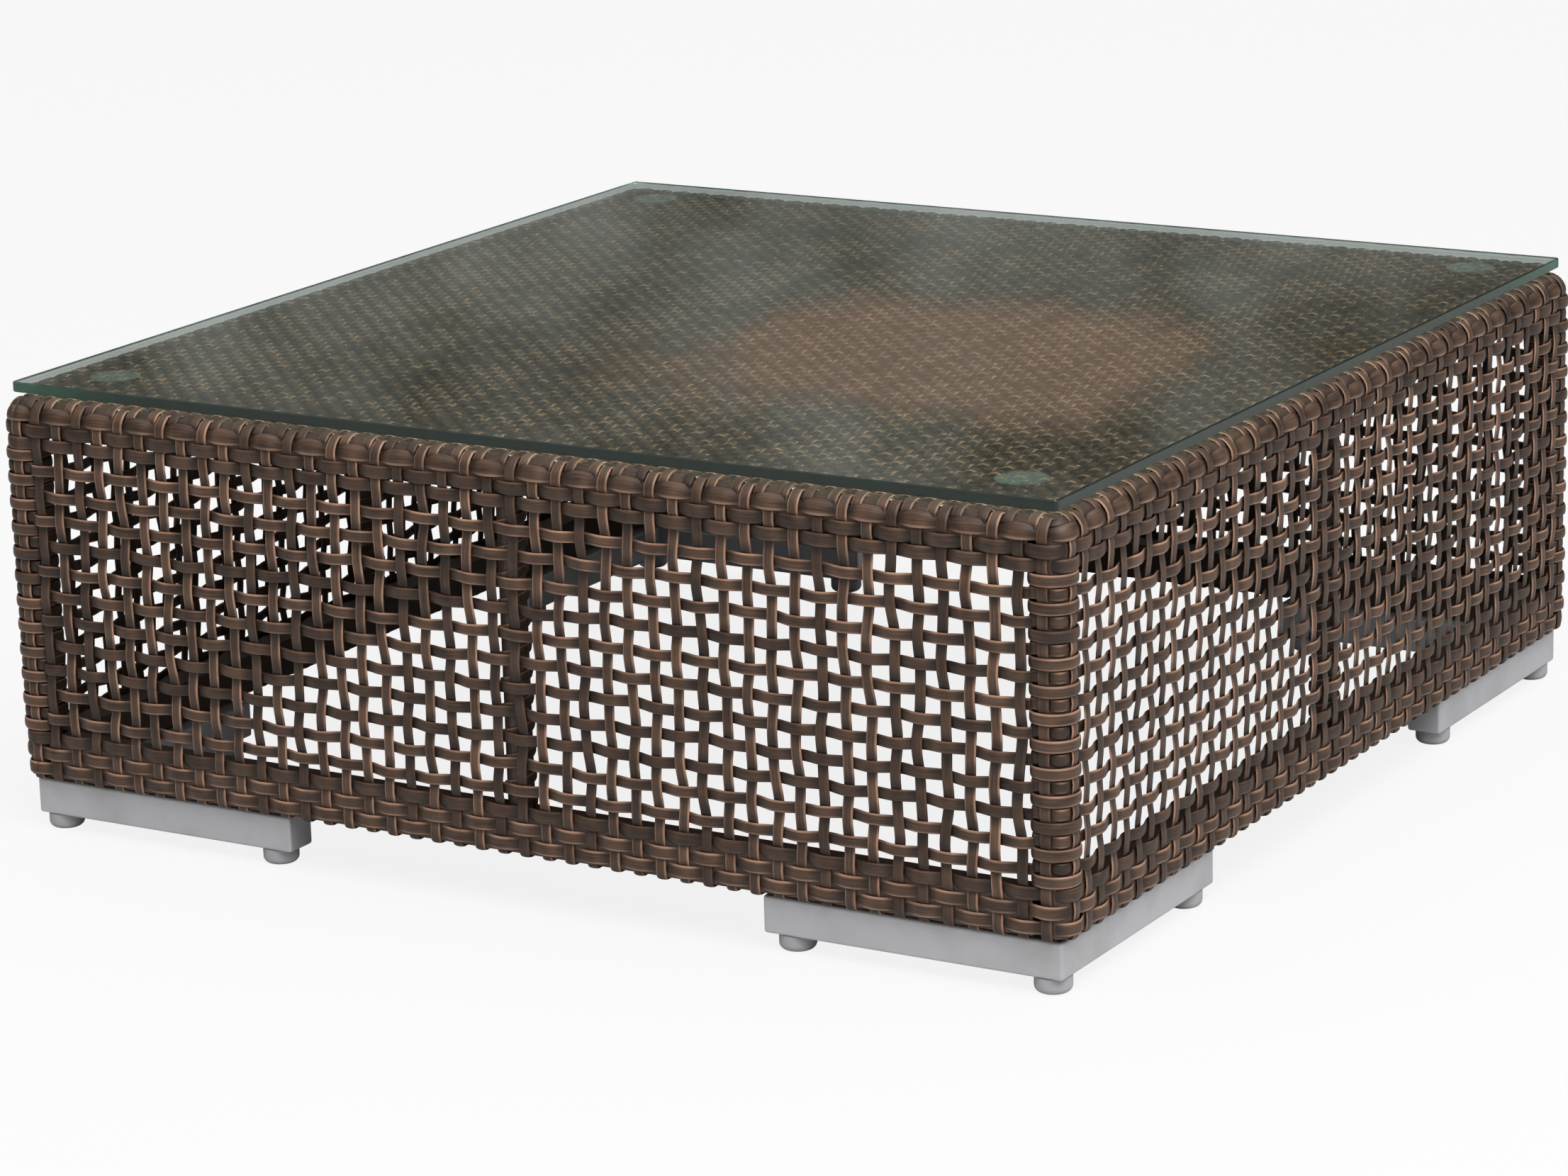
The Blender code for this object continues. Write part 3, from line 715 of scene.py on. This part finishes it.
def buildPostWindings():
    radius = (postHigh.x - postLow.x) / 2 + winding["gap"] + weave["stripThick"] / 2
    centre = (postHigh.y + postLow.y) / 2
    low = postLow.z + weave["stripWidth"] * winding["endShare"]
    high = postHigh.z - weave["stripWidth"] * winding["endShare"]
    turnsUp = (high - low) / winding["pitch"]
    rings = np.linspace(0, turnsUp, int(turnsUp * winding["ringsPerTurn"]))

    def place(along, across, height):
        angle = along * 2 * math.pi
        x = (radius + height) * np.cos(angle)
        y = centre + (radius + height) * np.sin(angle)
        return np.stack([x, y, low + along * winding["pitch"] + across], axis=-1), np.zeros(along.shape)

    for turns, side in enumerate(sides):
        mesh = weaveStrips("winding", rings, sideOutline, [place])
        mesh.transform(Matrix.Rotation(turns * math.pi / 2, 4, "Z"))
        addPiece("post_winding_" + side, mesh, rattanMaterial, "table", "wicker")


buildStakes()
print("stakes and fillers woven")
buildRows()
print("rows woven")
buildCornerWraps()
buildPostWindings()
print("corners and posts wrapped")


def turnedMesh(name, outline, steps):
    # outline from the top of the axis, down the outside, to the axis again
    bm = bmesh.new()
    line = [bm.verts.new((radius, 0, height)) for radius, height in outline]
    edges = [bm.edges.new(pair) for pair in zip(line, line[1:])]
    bmesh.ops.spin(bm, geom=line + edges, cent=(0, 0, 0), axis=(0, 0, 1), dvec=(0, 0, 0),
                   angle=2 * math.pi, steps=steps, use_merge=True, use_normal_flip=False)
    bmesh.ops.remove_doubles(bm, verts=bm.verts, dist=mm(0.005))
    bmesh.ops.recalc_face_normals(bm, faces=bm.faces)
    mesh = bpy.data.meshes.new(name)
    bm.to_mesh(mesh)
    bm.free()
    mesh.shade_smooth()
    mesh.set_sharp_from_angle(angle=math.radians(50))
    return mesh


def arcPoints(centreRadius, centreHeight, size, start, end, steps):
    return [(centreRadius + size * math.cos(math.radians(start + (end - start) * i / steps)),
             centreHeight + size * math.sin(math.radians(start + (end - start) * i / steps)))
            for i in range(steps + 1)]


# clear pads: thin lens with a thick rim bead and a short nub that settles between the strips
pad = {"sunk": mm(0.5), "rimBead": mm(0.55), "nubRadius": mm(5.5), "nubEdge": mm(1.1), "lensSag": mm(2.1),
       "lensSteps": 7, "steps": 48}


def buildPads():
    for corner in corners:
        low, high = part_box("glass_pad_" + corner)
        radius, tall = (high.x - low.x) / 2, high.z - weaveTop + pad["sunk"]
        bead, nub, edge = pad["rimBead"], pad["nubRadius"], pad["nubEdge"]
        outline = [(0, 0), (radius - 3 * bead, 0)]
        outline += arcPoints(radius - bead, -bead, bead, 90, -90, 6)
        for step in range(1, pad["lensSteps"] + 1):
            share = step / pad["lensSteps"]
            outline.append((radius - 2 * bead - (radius - 2 * bead - nub) * share,
                            -2 * bead - (pad["lensSag"] - 2 * bead) * math.sin(share * math.pi / 2)))
        outline += arcPoints(nub - edge, edge - tall, edge, 0, -90, 5) + [(0, -tall)]
        mesh = turnedMesh("pad", outline, pad["steps"])
        mesh.transform(Matrix.Translation(((low.x + high.x) / 2, (low.y + high.y) / 2, high.z)))
        addPiece("moulded_pad_" + corner, mesh, vinylMaterial, "glass", "clear_pad", "glass_pad_" + corner)


# glides: low turned pucks with soft lower edges
glide = {"lowerEdge": mm(5), "upperEdge": mm(0.8), "stemRadius": mm(3.7), "gap": mm(0.3), "steps": 40}


def buildGlides():
    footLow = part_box("foot_front_left")[0]
    for node in [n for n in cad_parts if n.startswith("glide_")]:
        low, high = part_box(node)
        radius, shoulder = (high.x - low.x) / 2, footLow.z - glide["gap"]
        upper, lower = glide["upperEdge"], glide["lowerEdge"]
        outline = [(0, high.z), (glide["stemRadius"], high.z), (glide["stemRadius"], shoulder)]
        outline += arcPoints(radius - upper, shoulder - upper, upper, 90, 0, 4)
        outline += arcPoints(radius - lower, low.z + lower, lower, 0, -90, 10) + [(0, low.z)]
        mesh = turnedMesh("glide", outline, glide["steps"])
        mesh.transform(Matrix.Translation(((low.x + high.x) / 2, (low.y + high.y) / 2, 0)))
        addPiece("turned_" + node, mesh, glideMaterial, "table", "glide", node)


buildPads()
buildGlides()
print("pads and glides turned")

# finishes of the parts whose shape stays
kept = {"glass_top": (glassMaterial, "glass"), "foot_bolt": (boltMaterial, "bolt"),
        "foot_": (footMaterial, "foot")}
for tube in ("corner_post", "top_rail", "bottom_rail", "middle_post", "cross_rail"):
    kept[tube] = (frameMaterial, "frame")
for name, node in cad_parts.items():
    match = next((key for key in kept if name.startswith(key)), None)
    if match:
        node.data.materials.clear()
        node.data.materials.append(kept[match][0])

# plain pale floor
stage = {"floorSize": 60.0, "floor": "#cfcfce", "floorRoughness": 0.85, "backlit": 0.86,
         "backdrop": "#fcfcfc"}


def buildFloor():
    bm = bmesh.new()
    bmesh.ops.create_grid(bm, x_segments=1, y_segments=1, size=stage["floorSize"] / 2)
    mesh = bpy.data.meshes.new("studio_floor")
    bm.to_mesh(mesh)
    bm.free()
    material, tree, shader = newMaterial("matt_studio_paper")
    shader.inputs["Base Color"].default_value = linear(stage["floor"])
    shader.inputs["Roughness"].default_value = stage["floorRoughness"]
    seen = addNode(tree, "ShaderNodeLightPath").outputs["Is Camera Ray"]
    share = addNode(tree, "ShaderNodeMath", {0: seen, 1: stage["backlit"]}, operation="MULTIPLY").outputs[0]
    glow = addNode(tree, "ShaderNodeEmission", {"Color": (1, 1, 1, 1), "Strength": 1.0})
    both = addNode(tree, "ShaderNodeMixShader", {0: share, 1: shader.outputs[0], 2: glow.outputs[0]})
    tree.links.new(both.outputs[0], tree.nodes["Material Output"].inputs["Surface"])
    mesh.materials.append(material)
    floor = bpy.data.objects.new("studio_floor", mesh)
    bpy.context.scene.collection.objects.link(floor)


# soft light: a bright overcast dome over darker, faintly green surroundings that the glass mirrors
light = {
    "sky": "#ffffff", "skyStrength": 1.0, "skyLow": 0.42, "skyHigh": 0.75,
    "groundDark": "#272d26", "groundLight": "#797c79", "groundWarm": "#94786a",
    "blotScale": 24.0, "blotFrom": 0.36, "blotTo": 0.64,
    "warmWay": (-0.477, 0.852, 0.216), "warmWide": 0.048, "warmTall": 0.011, "ragged": 2.8,
    "warmMost": 0.75, "warmFull": 2.0, "warmGone": 2.7,
    "keyPower": 145.0, "keySize": 3.0, "keyPlace": (2.1, -1.6, 3.3), "keyAim": (0, 0, 0.2),
}


def buildLight():
    world = bpy.data.worlds.new("overcast")
    world.use_nodes = True
    bpy.context.scene.world = world
    tree = world.node_tree
    direction = addNode(tree, "ShaderNodeTexCoord").outputs["Generated"]
    up = addNode(tree, "ShaderNodeSeparateXYZ", {0: direction}).outputs["Z"]
    noise = addNode(tree, "ShaderNodeTexNoise", {"Vector": direction, "Scale": light["blotScale"],
                                                 "Detail": 3.0}).outputs["Fac"]
    blot = addNode(tree, "ShaderNodeMapRange", {"Value": noise, "From Min": light["blotFrom"],
                                                "From Max": light["blotTo"]}).outputs[0]
    ground = addNode(tree, "ShaderNodeMix", {0: blot, 6: linear(light["groundDark"]),
                                             7: linear(light["groundLight"])}, data_type="RGBA").outputs[2]
    # one low warm patch far behind the table, soft and ragged
    away = addNode(tree, "ShaderNodeVectorMath", {0: direction, 1: light["warmWay"]},
                   operation="SUBTRACT").outputs[0]
    wide, tall = light["warmWide"], light["warmTall"]
    away = addNode(tree, "ShaderNodeVectorMath", {0: away, 1: (1 / wide, 1 / wide, 1 / tall)},
                   operation="MULTIPLY").outputs[0]
    away = addNode(tree, "ShaderNodeVectorMath", {0: away}, operation="LENGTH").outputs["Value"]
    away = addNode(tree, "ShaderNodeMath", {0: noise, 1: light["ragged"], 2: away},
                   operation="MULTIPLY_ADD").outputs[0]
    warm = addNode(tree, "ShaderNodeMapRange", {
        "Value": away, "From Min": light["warmFull"], "From Max": light["warmGone"],
        "To Min": light["warmMost"], "To Max": 0.0}, interpolation_type="SMOOTHSTEP").outputs[0]
    ground = addNode(tree, "ShaderNodeMix", {0: warm, 6: ground, 7: linear(light["groundWarm"])},
                     data_type="RGBA").outputs[2]
    lift = addNode(tree, "ShaderNodeMapRange", {"Value": up, "From Min": light["skyLow"],
                                                "From Max": light["skyHigh"]},
                   interpolation_type="SMOOTHSTEP").outputs[0]
    dome = addNode(tree, "ShaderNodeMix", {0: lift, 6: ground, 7: linear(light["sky"])},
                   data_type="RGBA").outputs[2]
    seen = addNode(tree, "ShaderNodeLightPath").outputs["Is Camera Ray"]
    shown = addNode(tree, "ShaderNodeMix", {0: seen, 6: dome, 7: linear(stage["backdrop"])},
                    data_type="RGBA").outputs[2]
    background = tree.nodes["Background"]
    tree.links.new(shown, background.inputs["Color"])
    background.inputs["Strength"].default_value = light["skyStrength"]
    lamp = bpy.data.lights.new("soft_key", "AREA")
    lamp.energy = light["keyPower"]
    lamp.size = light["keySize"]
    key = bpy.data.objects.new("soft_key", lamp)
    key.location = light["keyPlace"]
    key.rotation_euler = (Vector(light["keyAim"]) - key.location).to_track_quat("-Z", "Y").to_euler()
    bpy.context.scene.collection.objects.link(key)
    bpy.context.scene.view_settings.view_transform = "Standard"


# view over the front right corner
shot = {"place": (1.9415, -3.3129, 1.1673), "heading": 30.81, "down": 15.08, "roll": -1.55,
        "lens": 115.79, "sensor": 36.0}


def buildCamera():
    lens = bpy.data.cameras.new("camera")
    lens.lens = shot["lens"]
    lens.sensor_width = shot["sensor"]
    camera = bpy.data.objects.new("camera", lens)
    turn = (Matrix.Rotation(math.radians(shot["heading"]), 4, "Z")
            @ Matrix.Rotation(math.radians(90 - shot["down"]), 4, "X")
            @ Matrix.Rotation(math.radians(shot["roll"]), 4, "Z"))
    camera.matrix_world = Matrix.Translation(shot["place"]) @ turn
    bpy.context.scene.collection.objects.link(camera)
    bpy.context.scene.camera = camera


buildFloor()
buildLight()
buildCamera()
print("stage, light and camera set")
